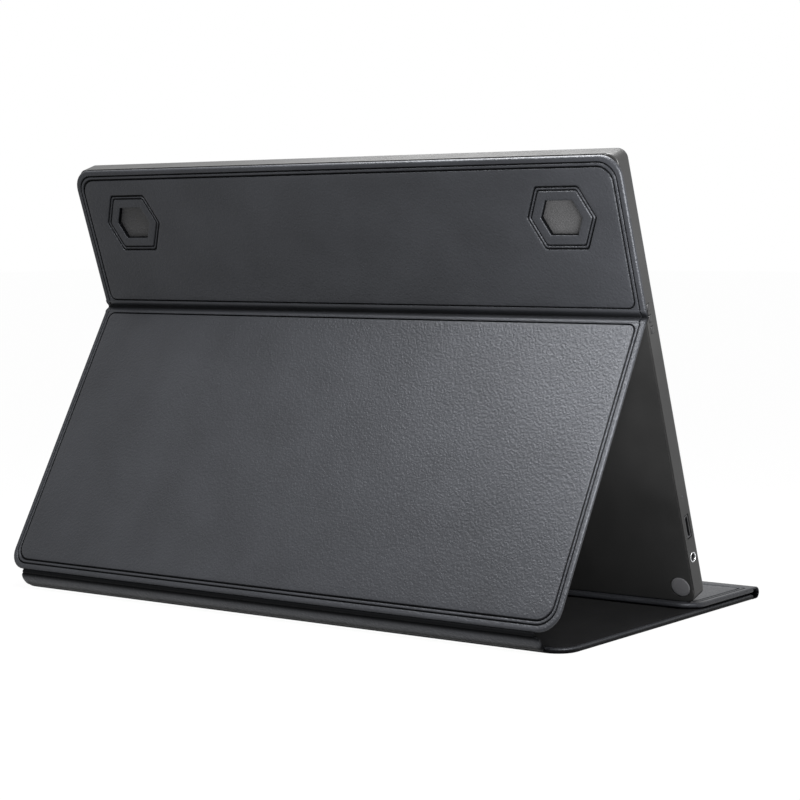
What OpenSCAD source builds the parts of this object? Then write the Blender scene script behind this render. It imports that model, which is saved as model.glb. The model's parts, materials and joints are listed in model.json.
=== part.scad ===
/* [Monitor] */
// Width of the monitor
mon_w = 356; // [340:1:372]
// Height of the monitor
mon_h = 236; // [226:1:246]
// Thickness of the monitor
mon_t = 9.6; // [9.2:0.1:11]
// Radius of the monitor's corners
mon_r = 5; // [3:0.5:7]
// Rounding of the case's back edge
back_r = 0.6; // [0.4:0.05:0.6]
// Wall of the rear housing
wall = 1.4; // [1.2:0.1:1.8]
// Bezel at each side of the screen
side_bezel = 5.5; // [5:0.5:8]
// Bezel above the screen
top_bezel = 5.5; // [5:0.5:8]
// Bezel below the screen
bottom_bezel = 15; // [12:0.5:18]

/* [Stand pose] */
// Lean of the monitor from upright, in degrees
lean = 18.3; // [17:0.1:20]
// Angle between the strut and the monitor's back
apex = 48.5; // [47:0.1:49.5]
// Height of the crease above the monitor's bottom edge
crease_s = 154.3; // [152:0.1:157]
// How far the strut runs on past the monitor's bottom
strut_past = 10.6; // [9:0.1:12]
// Gap between the monitor's lowest edge and the groove it stands in
edge_gap = 0.3; // [0.2:0.05:0.5]

/* [Cover] */
// How far the cover reaches past the monitor at each side
cover_over = 2.3; // [1:0.1:4]
// Thickness of the upper panel
cover_t = 2.8; // [2.6:0.1:3.4]
// Radius of the cover's corners
cover_r = 11; // [8:0.5:14]
// Thickness of the front cover on the table
base_t = 3; // [2.8:0.1:3.4]
// Thickness of the leather over the panels
leather_t = 0.9; // [0.8:0.05:1.1]
// Thickness of the soft lining
lining_t = 0.5; // [0.4:0.05:0.6]
// Distance of the pressed seam from a panel's edge
seam_in = 2.4; // [2:0.1:3]
// Width of each of the seam's two grooves
groove_w = 1.2; // [1:0.1:1.3]
// Width of the bead between the grooves
bead_w = 0.9; // [0.7:0.1:1.2]
// Depth of the grooves
groove_d = 0.5; // [0.3:0.05:0.6]

/* [Base] */
// Position of the monitor's lowest edge from the middle of the footprint
edge_y = -35; // [-36:0.5:-34]
// Distance from the monitor's lowest edge to the flap's fold
fold_y = 60.2; // [50:0.2:64]
// Length of the strip between the strut's heel and the base
spine_len = 11.2; // [10.8:0.1:12]

/* [Speaker openings] */
// Distance of each opening's centre from the monitor's side
hex_in = 35.5; // [32:0.5:42]
// Distance of each opening's centre from the monitor's top
hex_down = 30.6; // [29:0.1:33]
// Width of the pressed hexagon
hex_w = 38.8; // [36:0.2:40]
// Height of the pressed hexagon
hex_h = 31.4; // [29:0.2:33]
// Width of the opening
hole_w = 24; // [20:0.2:26]
// Height of the opening
hole_h = 20; // [16:0.2:21]
// Radius of the small sound holes in the case
sound_r = 0.7; // [0.5:0.05:0.9]

/* [Controls and ports] */
// Height of the middle button on the monitor
button_s = 151.8; // [148:0.1:156]
// Spacing of the buttons
button_pitch = 5.8; // [5.4:0.1:7]
// Length of a button
button_l = 3.7; // [3:0.1:4.2]
// Travel of a button
button_travel = 0.4; // [0.2:0.05:0.5]
// Height of the video port's centre
video_s = 40.4; // [38:0.1:44]
// Height of the sound jack's centre
jack_s = 23.6; // [22:0.1:27]
// Height of the lamp's centre
lamp_s = 56.9; // [55:0.1:60]
// Radius of the jack's hole
jack_r = 1.75; // [1.7:0.05:1.8]
// Width of the bright ring round the jack
ring_w = 0.45; // [0.3:0.05:0.6]
// Radius of the lamp's window
lamp_r = 0.6; // [0.4:0.05:0.8]
// Radius of the round pads at the case's lower corners
pad_r = 5.4; // [4.5:0.1:6]
// Distance of a pad's centre from the case's side
pad_in = 7.5; // [7:0.1:9]
// Height of a pad's centre on the monitor
pad_s = 8.3; // [7:0.1:9]

/* [Hidden] */
$fn = 48;

e = 0.05;
gap = 0.3;
hinge_gap = 1;
side_x = mon_w / 2;
cover_w = mon_w + 2 * cover_over;
view_w = mon_w - 2 * side_bezel;
view_h = mon_h - top_bezel - bottom_bezel;
hex_x = side_x - hex_in;
hex_s = mon_h - hex_down;

// crease axis in the monitor's own frame, which has its origin on the lowest edge,
// y up along the back and z from the back towards the screen
crease_z = -0.9;
heel_s = -strut_past;
heel_z = -cover_t / 2;
strut_in = -gap;

// the flap lies on the base, and the monitor's lowest edge stands in its inner groove
seam_end = seam_in + 2 * groove_w + bead_w;
edge_room = 0.8;
flap_z = base_t + gap * 2 / 3;
flap_top = flap_z + base_t;
edge_z = flap_top - groove_d + edge_gap;
flap_free = edge_y - edge_room + seam_end;

// the same axes in the part's frame, as [y, z]
function on_monitor(s, z) = [
    edge_y + s * sin(lean) - z * cos(lean),
    edge_z + s * cos(lean) + z * sin(lean)];
function on_strut(s, z) =
    let (a = s - crease_s, b = z - crease_z)
    on_monitor(crease_s + a * cos(apex) - b * sin(apex), crease_z + a * sin(apex) + b * cos(apex));
crease_at = on_monitor(crease_s, crease_z);
heel_at = on_strut(heel_s, heel_z);
toe_z = cover_t / 2;
toe_at = [heel_at[0] - sqrt(spine_len * spine_len - pow(heel_at[1] - toe_z, 2)), toe_z];
spine_angle = asin((heel_at[1] - toe_z) / spine_len);
fold_z = base_t + gap / 3;
fold_at = [edge_y - fold_y, fold_z];

end_gap = 1.3;
base_rear = toe_at[0] - 1.5;
base_near = fold_at[0] + fold_z + gap;
board_in = seam_end + 2.1;
board_r = 3;
crease_in = 3.4;
crease_seam = 0.4;
fold_r = 0.7;
strip_t = 1;
spine_w = cover_w - 2 * cover_r;
spine_in = 4;
spine_top = 1;
magnet_r = 5;
magnet_gap = 0.1;
magnet_s = [mon_h - 63, mon_h - 41];
steel_x = hex_x - 42.5;

bezel_t = 1;
panel_t = 1.1;
light_t = 0.6;
bezel_z = mon_t - bezel_t;
panel_z = bezel_z - panel_t;
light_z = panel_z - light_t;
pcb_z = 2.4;
pcb_t = 1;
pcb_top = pcb_z + pcb_t;
pcb_gap = 0.4;
driver_w = 118;
usb_w = 40;

// heights of the ports' and buttons' centres over the case's back
port_z = 5;
jack_z = 4.8;
button_z = 4;
bush_r = jack_r + 0.4;
ring_r = bush_r + ring_w;
usb_s = [38, 58];
video_w = 12.8;
video_h = 4.4;
lap = 1.5;
pad_rim = 0.2;
pad_d = 0.5;
cap_out = 0.3;
cap_h = 2.3;
flange_t = 0.5;
flange_in = wall + e;
tact_in = flange_in + flange_t + button_travel + e;
cloth_t = 0.4;
cloth_lap = 2.4;
screw_r = 0.9;
post_r = 2.4;

module at_monitor() {
    translate([0, edge_y, edge_z]) rotate([90 - lean, 0, 0]) children();
}

module at_strut() {
    at_monitor() translate([0, crease_s, crease_z]) rotate([apex, 0, 0])
        translate([0, -crease_s, -crease_z]) children();
}

module at_spine() {
    translate([0, toe_at[0], toe_at[1]]) rotate([spine_angle, 0, 0]) children();
}

// points of a rectangle from [x0, y0] to [x1, y1], with one radius at y0 and one at y1
function round_pts(x0, y0, x1, y1, r0, r1) = concat(
    corner(x0, y0, r0, 180), corner(x1, y0, r0, 270), corner(x1, y1, r1, 0), corner(x0, y1, r1, 90));
function corner(x, y, r, a) = r <= 0 ? [[x, y]] :
    let (cx = x + (a == 180 || a == 90 ? r : -r), cy = y + (a >= 180 ? r : -r))
    [for (i = [0 : 8]) [cx + r * cos(a + i * 11.25), cy + r * sin(a + i * 11.25)]];

module plate(x0, y0, x1, y1, r0, r1, z0, z1) {
    translate([0, 0, z0]) linear_extrude(z1 - z0) polygon(round_pts(x0, y0, x1, y1, r0, r1));
}

// plate whose sides move in by a and whose corners tighten more slowly
module inner_plate(x, y0, y1, r0, r1, a, z0, z1) {
    plate(-x + a, y0 + a, x - a, y1 - a, seam_r(r0, a), seam_r(r1, a), z0, z1);
}
function seam_r(r, a) = max(r - 0.55 * a, 4);

// the seam's two grooves, which follow a panel's outline with a bead between them
module seam(x, y0, y1, r0, r1, z0, z1) {
    for (a = [seam_in, seam_end - groove_w]) difference() {
        inner_plate(x, y0, y1, r0, r1, a, z0, z1);
        inner_plate(x, y0, y1, r0, r1, a + groove_w, z0 - e, z1 + e);
    }
}

// six-sided outline with a flat top and bottom
module hexagon(w, h, z0, z1) {
    f = 0.31 * w;
    translate([0, 0, z0]) linear_extrude(z1 - z0) polygon([
        [-f, -h / 2], [f, -h / 2], [w / 2, 0], [f, h / 2], [-f, h / 2], [-w / 2, 0]]);
}

module both_hexagons(w, h, z0, z1) {
    for (side = [-1, 1]) translate([side * hex_x, hex_s, 0]) hexagon(w, h, z0, z1);
}

// pressed hexagons moved in by a, which takes more off the width because the sides slant
module inner_hexagons(a, z0, z1) {
    both_hexagons(hex_w - 2.5 * a, hex_h - 2 * a, z0, z1);
}

module hexagon_seams(z0, z1) {
    for (a = [0, groove_w + bead_w]) difference() {
        inner_hexagons(a, z0, z1);
        inner_hexagons(a + groove_w, z0 - e, z1 + e);
    }
}

module rod_x(y, z, r, len) {
    translate([-len / 2, y, z]) rotate([0, 90, 0]) cylinder(r = r, h = len);
}

module discs(xs, y, z0, z1, r) {
    for (x = xs) translate([x, y, z0]) cylinder(r = r, h = z1 - z0);
}

// slab whose lower edge is rounded all the way round
module soft_slab(x, y1, r, round_r, z1) {
    c = round_r;
    plate(-x + c, c, x - c, y1 - c, r - c, r - c, 0, c + e);
    plate(-x, 0, x, y1, r, r, c, z1);
    for (side = [-1, 1]) {
        for (y = [c, y1 - c]) translate([0, y, c]) rotate([0, side * 90, 0])
            cylinder(r = c, h = x - r);
        translate([side * (x - c), r, c]) rotate([-90, 0, 0]) cylinder(r = c, h = y1 - 2 * r);
        for (y = [r, y1 - r]) translate([side * (x - r), y, c])
            rotate_extrude() translate([r - c, 0]) circle(c);
    }
}

// the monitor's electronics and case
module rear_housing() color("#1b1b1d") at_monitor() {
    m = side_x;
    difference() {
        union() {
            difference() {
                soft_slab(m, mon_h, mon_r, back_r, bezel_z);
                plate(-m + wall, wall, m - wall, mon_h - wall, mon_r - wall, mon_r - wall,
                    wall, bezel_z + e);
            }
            board_posts(post_r, wall - e, pcb_z);
        }
        board_posts(screw_r, wall / 2, pcb_z + e);
        for (i = [-1 : 1]) button_slot(i);
        translate([-m - e, video_s - video_w / 2, port_z - video_h / 2])
            cube([wall + 2 * e, video_w, video_h]);
        side_bore(jack_s, jack_z, ring_r);
        side_bore(lamp_s, port_z, lamp_r);
        for (s = usb_s) usb_shape(s, 5, 1.9, m - wall - e, m + e);
        sound_holes();
        both_hexagons(hole_w + cloth_lap, hole_h + cloth_lap, -e, cloth_t);
        discs(pad_x(), pad_s, -e, pad_d, pad_r + pad_rim);
    }
}

function pad_x() = [-side_x + pad_in, side_x - pad_in];

// posts under the driver board's corners and at the usb board's inner end
module board_posts(r, z0, z1) {
    for (s = [14, 66]) discs([10 - side_x, driver_w - 6 - side_x], s, z0, z1, r);
    for (s = [31, 65]) discs([side_x - usb_w + 6], s, z0, z1, r);
}

module button_slot(i) {
    translate([-side_x - e, button_s + i * button_pitch - (button_l + gap) / 2,
        button_z - (cap_h + gap) / 2]) cube([wall + 2 * e, button_l + gap, cap_h + gap]);
}

module side_bore(s, z, r) {
    translate([-side_x - e, s, z]) rotate([0, 90, 0]) cylinder(r = r, h = wall + 2 * e);
}

// rows of small holes behind the cloth
module sound_holes() {
    for (side = [-1, 1], i = [-3 : 3], j = [-2 : 2])
        translate([side * hex_x + i * 2.6, hex_s + j * 3, 0])
            cylinder(r = sound_r, h = wall + e, $fn = 24);
}

// woven cloth let into the case's back, over the sound holes
module speaker_cloth() color("#26272a") at_monitor()
    both_hexagons(hole_w + cloth_lap - gap, hole_h + cloth_lap - gap, 0, cloth_t);

module front_bezel() color("#101012") at_monitor() difference() {
    plate(-side_x, 0, side_x, mon_h, mon_r, mon_r, bezel_z, mon_t);
    plate(-view_w / 2, bottom_bezel, view_w / 2, bottom_bezel + view_h, 1, 1, bezel_z - e, mon_t + e);
}

// the panel and its light run on behind the bezel, furthest at the bottom
module behind_bezel(z0, z1) {
    x = view_w / 2 + lap;
    plate(-x, bottom_bezel - 8, x, bottom_bezel + view_h + lap, 0, 0, z0, z1);
}

module display_panel() color("#0a0c10") at_monitor() behind_bezel(panel_z, bezel_z);
module backlight() color("#d9dde0") at_monitor() behind_bezel(light_z, panel_z);

module driver_board() color("#1f5a3a") at_monitor() difference() {
    plate(wall + pcb_gap - side_x, 8, driver_w - side_x, 72, 1, 1, pcb_z, pcb_top);
    board_posts(screw_r + 0.2, pcb_z - e, pcb_top + e);
}

module board_chips() color("#2a2a2c") at_monitor() translate([-side_x, 0, pcb_top]) {
    // each chip as its place, then its size
    chips = [[[50, 36], [16, 16, 1.4]], [[82, 52], [10, 10, 1.1]],
        [[94, 22], [12, 9, 1.3]], [[66, 18], [7, 5, 1]]];
    for (c = chips) translate(c[0]) cube(c[1]);
    for (i = [0 : 4]) translate([28 + i * 6, 60, 0]) cube([3.2, 1.6, 1.2]);
}

module board_screws() color("#b9bcc0") at_monitor() {
    board_posts(screw_r, wall / 2, pcb_top + e);
    board_posts(screw_r + 1, pcb_top, pcb_top + 0.9);
}

// flat cable from the board up to the panel's edge
module display_cable() color("#c99a3c") at_monitor() translate([78 - side_x, 0, 0]) {
    t = 0.3;
    rotate([90, 0, 90]) linear_extrude(22) polygon([
        [64, pcb_top], [80, pcb_top], [92, light_z - t], [104, light_z - t],
        [104, light_z], [92 - t, light_z], [80 - t, pcb_top + t], [64, pcb_top + t]]);
}

module video_port() color("#8d9094") at_monitor() {
    translate([-side_x + 0.3, video_s, 0]) difference() {
        translate([0, -5.8, pcb_top]) cube([8.5, 11.6, 3.2]);
        translate([-e, 0, port_z]) rotate([90, 0, 90]) linear_extrude(7.4) polygon([
            [-5.3, 1.1], [5.3, 1.1], [5.3, -0.3], [4.5, -1.1], [-4.5, -1.1], [-5.3, -0.3]]);
    }
    translate([-side_x + 1.6, video_s - 3.8, port_z - 0.3]) cube([6.3, 7.6, 0.6]);
}

module sound_jack() color("#2b2b2d") at_monitor() difference() {
    union() {
        translate([-side_x + wall, jack_s - 3.1, pcb_top]) cube([12, 6.2, light_z - pcb_top - 0.1]);
        at_jack(0.3) cylinder(r = bush_r, h = wall);
    }
    at_jack(0) cylinder(r = jack_r, h = 11);
}

module at_jack(x) {
    translate([-side_x + x, jack_s, jack_z]) rotate([0, 90, 0]) children();
}

module jack_ring() color("#d8dadd") at_monitor() difference() {
    at_jack(-0.2) cylinder(r = ring_r, h = wall + 0.2);
    at_jack(-1) cylinder(r = bush_r, h = wall + 2);
}

module usb_shape(s, a, b, x0, x1) {
    translate([x0, s, port_z]) rotate([90, 0, 90]) linear_extrude(x1 - x0)
        polygon(round_pts(-a, -b, a, b, b, b));
}

module usb_c_ports() color("#9a9da1") at_monitor() for (s = usb_s) {
    difference() {
        usb_shape(s, 4.6, 1.6, side_x - 8.8, side_x - 0.3);
        usb_shape(s, 4.2, 1.25, side_x - 7.6, side_x);
    }
    translate([side_x - 7.8, s - 3.3, port_z - 0.35]) cube([6, 6.6, 0.7]);
}

module usb_board() color("#1f5a3a") at_monitor() difference() {
    plate(side_x - usb_w, 25, side_x - wall - pcb_gap, 71, 1, 1, pcb_z, pcb_top);
    board_posts(screw_r + 0.2, pcb_z - e, pcb_top + e);
}

// clear rod in the side wall, with its lamp on the board behind it
module lamp_pipe() color("#7fb7d8") at_monitor() translate([-side_x, lamp_s, 0]) {
    translate([0.1, 0, port_z]) rotate([0, 90, 0]) cylinder(r = lamp_r, h = 4);
    translate([4.1, -1, pcb_top]) cube([1.5, 2, 2.2]);
}

module button_board() color("#1f5a3a") at_monitor()
    translate([-side_x + tact_in + 1.8, button_s - 11, wall]) cube([1, 22, 4.6]);

module tact_switches() color("#b0b3b6") at_monitor() for (i = [-1 : 1])
    translate([-side_x + tact_in, button_s + i * button_pitch - 1.5, button_z - 1.2])
        cube([1.8, 3, 2.4]);

// a cap through the wall with a wider flange behind it
module button(i) at_monitor() translate([-side_x, button_s + i * button_pitch, button_z]) {
    translate([-cap_out, -button_l / 2, -cap_h / 2]) cube([cap_out + flange_in, button_l, cap_h]);
    translate([flange_in, -button_l / 2 - 0.4, -1.5]) cube([flange_t, button_l + 0.8, 3]);
}

module power_button() color("#0c0c0d") button(1);
module menu_up_button() color("#0c0c0d") button(0);
module menu_down_button() color("#0c0c0d") button(-1);

module speaker(side) at_monitor() translate([side * hex_x, hex_s, wall]) difference() {
    translate([-16, -10, 0]) cube([32, 20, 4.4]);
    translate([0, 0, -e]) cylinder(r = 8.5, h = 1.2);
    translate([0, 0, 1]) cylinder(r = 3, h = 1.2);
}

module speaker_left() color("#303033") speaker(1);
module speaker_right() color("#303033") speaker(-1);

// strips behind the upper panel's magnets
module steel_strips() color("#a3a6aa") at_monitor() for (s = magnet_s)
    translate([-steel_x, s - magnet_r, wall]) cube([2 * steel_x, 2 * magnet_r, 0.6]);

module corner_pads() color("#2c2d30") at_monitor() discs(pad_x(), pad_s, -0.15, pad_d - e, pad_r);

// upper panel, held flat on the monitor's back
module upper_leather() color("#3a3c40") at_monitor() difference() {
    x = cover_w / 2;
    y0 = crease_s + crease_in;
    plate(-x, y0, x, mon_h, 1, cover_r, -cover_t, -lining_t);
    board_space(y0, mon_h, -cover_t + leather_t, -lining_t + e);
    seam(x, crease_s - crease_seam, mon_h, 0, cover_r, -cover_t - e, -cover_t + groove_d);
    hexagon_seams(-cover_t - e, -cover_t + groove_d);
    both_hexagons(hole_w, hole_h, -cover_t - e, 0);
}

// a panel's stiff board, and the space that it fills in the leather
module board_space(y0, y1, z0, z1) {
    b = board_in;
    plate(-cover_w / 2 + b, y0 + b, cover_w / 2 - b, y1 - b, board_r, board_r, z0, z1);
}

module upper_board() color("#8a7a62") at_monitor() difference() {
    board_space(crease_s + crease_in, mon_h, -cover_t + leather_t, -lining_t);
    both_hexagons(hole_w + 2, hole_h + 2, -cover_t, 0);
    upper_discs(-cover_t, 0, magnet_r + magnet_gap);
}

module upper_discs(z0, z1, r) {
    for (s = magnet_s, i = [-2 : 2]) discs([i * (steel_x / 2 - magnet_r)], s, z0, z1, r);
}

module upper_magnets() color("#c3c6ca") at_monitor()
    upper_discs(-cover_t + leather_t, -lining_t, magnet_r);

module upper_lining() color("#26272a") at_monitor() difference() {
    x = cover_w / 2;
    plate(-x, crease_s + crease_in, x, mon_h, 0, cover_r, -lining_t, 0);
    both_hexagons(hole_w, hole_h, -cover_t, e);
}

// bare leather at the crease, as a bead on the axis and a tongue to the upper panel
module crease_leather() color("#303236") at_monitor() {
    x = cover_w / 2 - 1;
    rod_x(crease_s, crease_z, fold_r, 2 * x);
    plate(-x, crease_s, x, crease_s + crease_in, 0, 0,
        crease_z - strip_t / 2, crease_z + strip_t / 2);
}

// strut: the lower part of the back cover, swung out as the stand's rear leg
module strut_leather() color("#3a3c40") at_strut() difference() {
    x = cover_w / 2;
    y0 = heel_s + end_gap;
    y1 = crease_s - crease_in;
    union() {
        plate(-x, y0, x, y1, cover_r, 1, -cover_t, strut_in - lining_t);
        plate(-x + 1, y1, x - 1, crease_s - hinge_gap, 0, 0,
            crease_z - strip_t / 2, crease_z + strip_t / 2);
    }
    board_space(y0, y1, -cover_t + leather_t, strut_in - lining_t + e);
    seam(x, y0, crease_s + crease_seam, cover_r, 0, -cover_t - e, -cover_t + groove_d);
}

module strut_board() color("#8a7a62") at_strut() difference() {
    board_space(heel_s + end_gap, crease_s - crease_in, -cover_t + leather_t, strut_in - lining_t);
    strut_discs(-cover_t, 0, magnet_r + magnet_gap);
}

module strut_discs(z0, z1, r) discs([-120, -40, 40, 120], 12, z0, z1, r);

module strut_magnets() color("#c3c6ca") at_strut()
    strut_discs(-cover_t + leather_t, strut_in - lining_t, magnet_r);

module strut_lining() color("#26272a") at_strut() {
    x = cover_w / 2;
    plate(-x, heel_s + end_gap, x, crease_s - crease_in, cover_r, 0, strut_in - lining_t, strut_in);
}

// narrow padded strip between the strut's heel and the base
module spine_leather() color("#3a3c40") at_spine() difference() {
    x = spine_w / 2;
    plate(-x, hinge_gap, x, spine_len - hinge_gap, 0, 0, -toe_z, spine_top);
    spine_core();
}

module spine_core() {
    x = spine_w / 2 - spine_in;
    y = hinge_gap + 1.8;
    plate(-x, y, x, spine_len - y, 0, 0, leather_t - toe_z, leather_t - toe_z + 1);
}

module spine_board() color("#8a7a62") at_spine() spine_core();

// bare leather at the strut's heel and at the base's rear edge
module heel_leather() color("#303236") at_strut() hinge_strip(heel_s, heel_z, end_gap);
module toe_leather() color("#303236") hinge_strip(toe_at[0], toe_at[1], base_rear - toe_at[0]);

module hinge_strip(y, z, reach) {
    rod_x(y, z, fold_r, spine_w);
    translate([-spine_w / 2, y + min(reach, 0), z - strip_t / 2]) cube([spine_w, abs(reach), strip_t]);
}

// front cover: the panel that lies on the table
module base_leather() color("#3a3c40") difference() {
    x = cover_w / 2;
    plate(-x, base_near, x, base_rear, 1, cover_r, 0, base_t - lining_t);
    board_space(base_near, base_rear, leather_t, base_t - lining_t + e);
    seam(x, base_near, base_rear, 3, cover_r, -e, groove_d);
}

module base_board() color("#8a7a62") difference() {
    board_space(base_near, base_rear, leather_t, base_t - lining_t);
    flap_discs(0, base_t, magnet_r + magnet_gap);
}

// the base's magnets hold the flap's
module flap_discs(z0, z1, r) {
    discs([-135, -45, 45, 135], (fold_at[0] + flap_free) / 2, z0, z1, r);
}

module base_magnets() color("#c3c6ca") flap_discs(leather_t, base_t - lining_t, magnet_r);

module base_lining() color("#26272a")
    plate(-cover_w / 2, base_near, cover_w / 2, base_rear, 1, cover_r, base_t - lining_t, base_t);

// leather that turns over at the front edge
module fold_leather() color("#3a3c40") {
    x = cover_w / 2 - 1;
    difference() {
        rod_x(fold_at[0], fold_at[1], fold_z, 2 * x);
        rod_x(fold_at[0], fold_at[1], fold_z - strip_t, 2 * x + 2);
        translate([-x - 1, fold_at[0], -1]) cube([2 * x + 2, fold_z + 1, 2 * fold_z + 2]);
    }
    translate([-x, fold_at[0] - e, 0]) cube([2 * x, base_near - fold_at[0] + e, strip_t]);
}

// flap: the front of the cover, folded back over the base
module flap_leather() color("#3a3c40") difference() {
    x = cover_w / 2;
    z0 = flap_z + lining_t;
    plate(-x, fold_at[0], x, flap_free, 1, cover_r, z0, flap_top);
    board_space(fold_at[0], flap_free, z0 - e, flap_top - leather_t);
    seam(x, fold_at[0], flap_free, 3, cover_r, flap_top - groove_d, flap_top + e);
    rod_x(fold_at[0], fold_at[1], fold_z + gap, cover_w + 2);
}

module flap_board() color("#8a7a62") difference() {
    board_space(fold_at[0], flap_free, flap_z + lining_t, flap_top - leather_t);
    flap_discs(flap_z, flap_top, magnet_r + magnet_gap);
}

module flap_magnets() color("#c3c6ca")
    flap_discs(flap_z + lining_t, flap_top - leather_t, magnet_r);

module flap_lining() color("#26272a") difference() {
    plate(-cover_w / 2, fold_at[0], cover_w / 2, flap_free, 1, cover_r, flap_z, flap_z + lining_t);
    rod_x(fold_at[0], fold_at[1], fold_z + gap, cover_w + 2);
}

rear_housing();
front_bezel();
display_panel();
backlight();
driver_board();
board_chips();
board_screws();
display_cable();
video_port();
sound_jack();
jack_ring();
usb_c_ports();
usb_board();
lamp_pipe();
button_board();
tact_switches();
power_button();
menu_up_button();
menu_down_button();
speaker_left();
speaker_right();
speaker_cloth();
steel_strips();
corner_pads();
upper_leather();
upper_board();
upper_lining();
upper_magnets();
crease_leather();
strut_leather();
strut_board();
strut_lining();
strut_magnets();
spine_leather();
spine_board();
heel_leather();
toe_leather();
base_leather();
base_board();
base_lining();
base_magnets();
fold_leather();
flap_leather();
flap_board();
flap_lining();
flap_magnets();
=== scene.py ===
import json
import math

import bmesh
import bpy
from mathutils import Matrix, Vector, geometry, noise


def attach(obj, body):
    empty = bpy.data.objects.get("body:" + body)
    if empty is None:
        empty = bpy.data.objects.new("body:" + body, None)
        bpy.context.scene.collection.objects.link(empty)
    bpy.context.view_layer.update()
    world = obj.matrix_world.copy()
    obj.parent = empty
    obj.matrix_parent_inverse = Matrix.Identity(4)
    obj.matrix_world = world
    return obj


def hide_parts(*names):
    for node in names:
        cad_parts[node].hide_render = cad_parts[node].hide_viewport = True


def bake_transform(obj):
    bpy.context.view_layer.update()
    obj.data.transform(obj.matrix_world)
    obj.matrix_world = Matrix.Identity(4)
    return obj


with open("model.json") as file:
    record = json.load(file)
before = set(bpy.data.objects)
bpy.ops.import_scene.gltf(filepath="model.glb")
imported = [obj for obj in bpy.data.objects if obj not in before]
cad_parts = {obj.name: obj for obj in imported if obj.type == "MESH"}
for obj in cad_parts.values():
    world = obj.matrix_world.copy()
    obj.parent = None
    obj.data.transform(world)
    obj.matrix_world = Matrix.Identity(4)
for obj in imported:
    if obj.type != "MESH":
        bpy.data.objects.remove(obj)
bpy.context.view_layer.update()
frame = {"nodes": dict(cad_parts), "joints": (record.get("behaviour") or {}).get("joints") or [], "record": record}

# Portable monitor that stands on its folding leather cover.
# Every panel is made in millimetres, in a frame that the joints of the CAD model give.

MM = 0.001
JOINTS = {joint["name"]: joint for joint in frame["joints"]}


def opening(joint):
    """How far a hinge turns from the standing pose, in degrees."""
    return JOINTS[joint]["range_deg"][1]


def place(joint, tilt):
    """Frame on a hinge: x along it, y up the panel, z towards the panel's inner side."""
    turn = Matrix.Rotation(math.radians(tilt), 4, "X")
    return Matrix.Translation(JOINTS[joint]["pos_m"]) @ turn @ Matrix.Scale(MM, 4)


SPINE_TILT = opening("stand_fold")
STRUT_TILT = SPINE_TILT + opening("heel_fold")
MONITOR_TILT = STRUT_TILT - opening("crease_fold")
AT_BASE = place("stand_fold", 0)
AT_SPINE = place("stand_fold", SPINE_TILT)
AT_HEEL = place("heel_fold", STRUT_TILT)
AT_STRUT = place("crease_fold", STRUT_TILT)
AT_MONITOR = place("crease_fold", MONITOR_TILT)
AT_FLAP = place("flap_fold", 180)
AT_FOLD = place("flap_fold", 0)


def local_box(node, at):
    """Lowest and highest corner of a CAD node in one of the frames above."""
    back = at.inverted()
    points = [back @ v.co for v in frame["nodes"][node].data.vertices]
    low = Vector(min(p[i] for p in points) for i in range(3))
    high = Vector(max(p[i] for p in points) for i in range(3))
    return low, high


# Outlines

CORNER_STEPS = 8
EDGE_STEP = 8


def rounded(corners, insets, radii, cuts, steps=CORNER_STEPS):
    """Loop round a convex outline. Side i moves in by insets[i], and corner i gets radii[i].
    The number of points is the same for any inset, so loops of one outline can be joined."""
    count = len(corners)
    sides = []
    for i in range(count):
        along = (corners[(i + 1) % count] - corners[i]).normalized()
        inward = Vector((-along.y, along.x))
        sides.append((corners[i] + inward * insets[i], along, inward))
    arcs = []
    for i in range(count):
        before, after = sides[i - 1], sides[i]
        turn = math.atan2(before[1].cross(after[1]), before[1].dot(after[1]))
        reach = (after[0] - before[0]).cross(after[1]) / before[1].cross(after[1])
        corner = before[0] + before[1] * reach
        radius = radii[i]
        middle = corner - before[1] * radius * math.tan(turn / 2) + before[2] * radius
        spin = [Matrix.Rotation(turn * k / steps, 2) for k in range(steps + 1)]
        arcs.append([middle - (m @ before[2]) * radius for m in spin])
    loop = []
    for i in range(count):
        start, end = arcs[i][-1], arcs[(i + 1) % count][0]
        loop += arcs[i]
        loop += [start.lerp(end, k / (cuts[i] + 1)) for k in range(1, cuts[i] + 1)]
    return loop


def rectangle(half, low, high):
    return [Vector(p) for p in ((-half, low), (half, low), (half, high), (-half, high))]


def hexagon(centre, width, height):
    flat = HEX_FLAT * width
    points = [(-flat, -height / 2), (flat, -height / 2), (width / 2, 0),
              (flat, height / 2), (-flat, height / 2), (-width / 2, 0)]
    return [centre + Vector(p) for p in points]


def cuts_for(corners, step=EDGE_STEP):
    count = len(corners)
    lengths = [(corners[(i + 1) % count] - corners[i]).length for i in range(count)]
    return [max(1, round(length / step)) for length in lengths]


# Meshes

def inside(point, loop):
    """Whether a point lies in a closed loop."""
    odd = False
    for a, b in zip(loop, loop[1:] + loop[:1]):
        if (a.y > point.y) != (b.y > point.y):
            if point.x < a.x + (b.x - a.x) * (point.y - a.y) / (b.y - a.y):
                odd = not odd
    return odd


def distance_to(point, loop):
    return min((geometry.intersect_point_line(point, a, b)[0].to_2d() - point).length
               if 0 < geometry.intersect_point_line(point, a, b)[1] < 1
               else (a - point).length for a, b in zip(loop, loop[1:] + loop[:1]))


# A filled outline's straight sides are bent by BEND while its triangles are found.
BEND = 0.3
GRID_CLEAR = 0.4
SAME_FLAT_POINT = 1e-6
SAME_POINT = 1e-6
SHARP_ANGLE = 35


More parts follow.
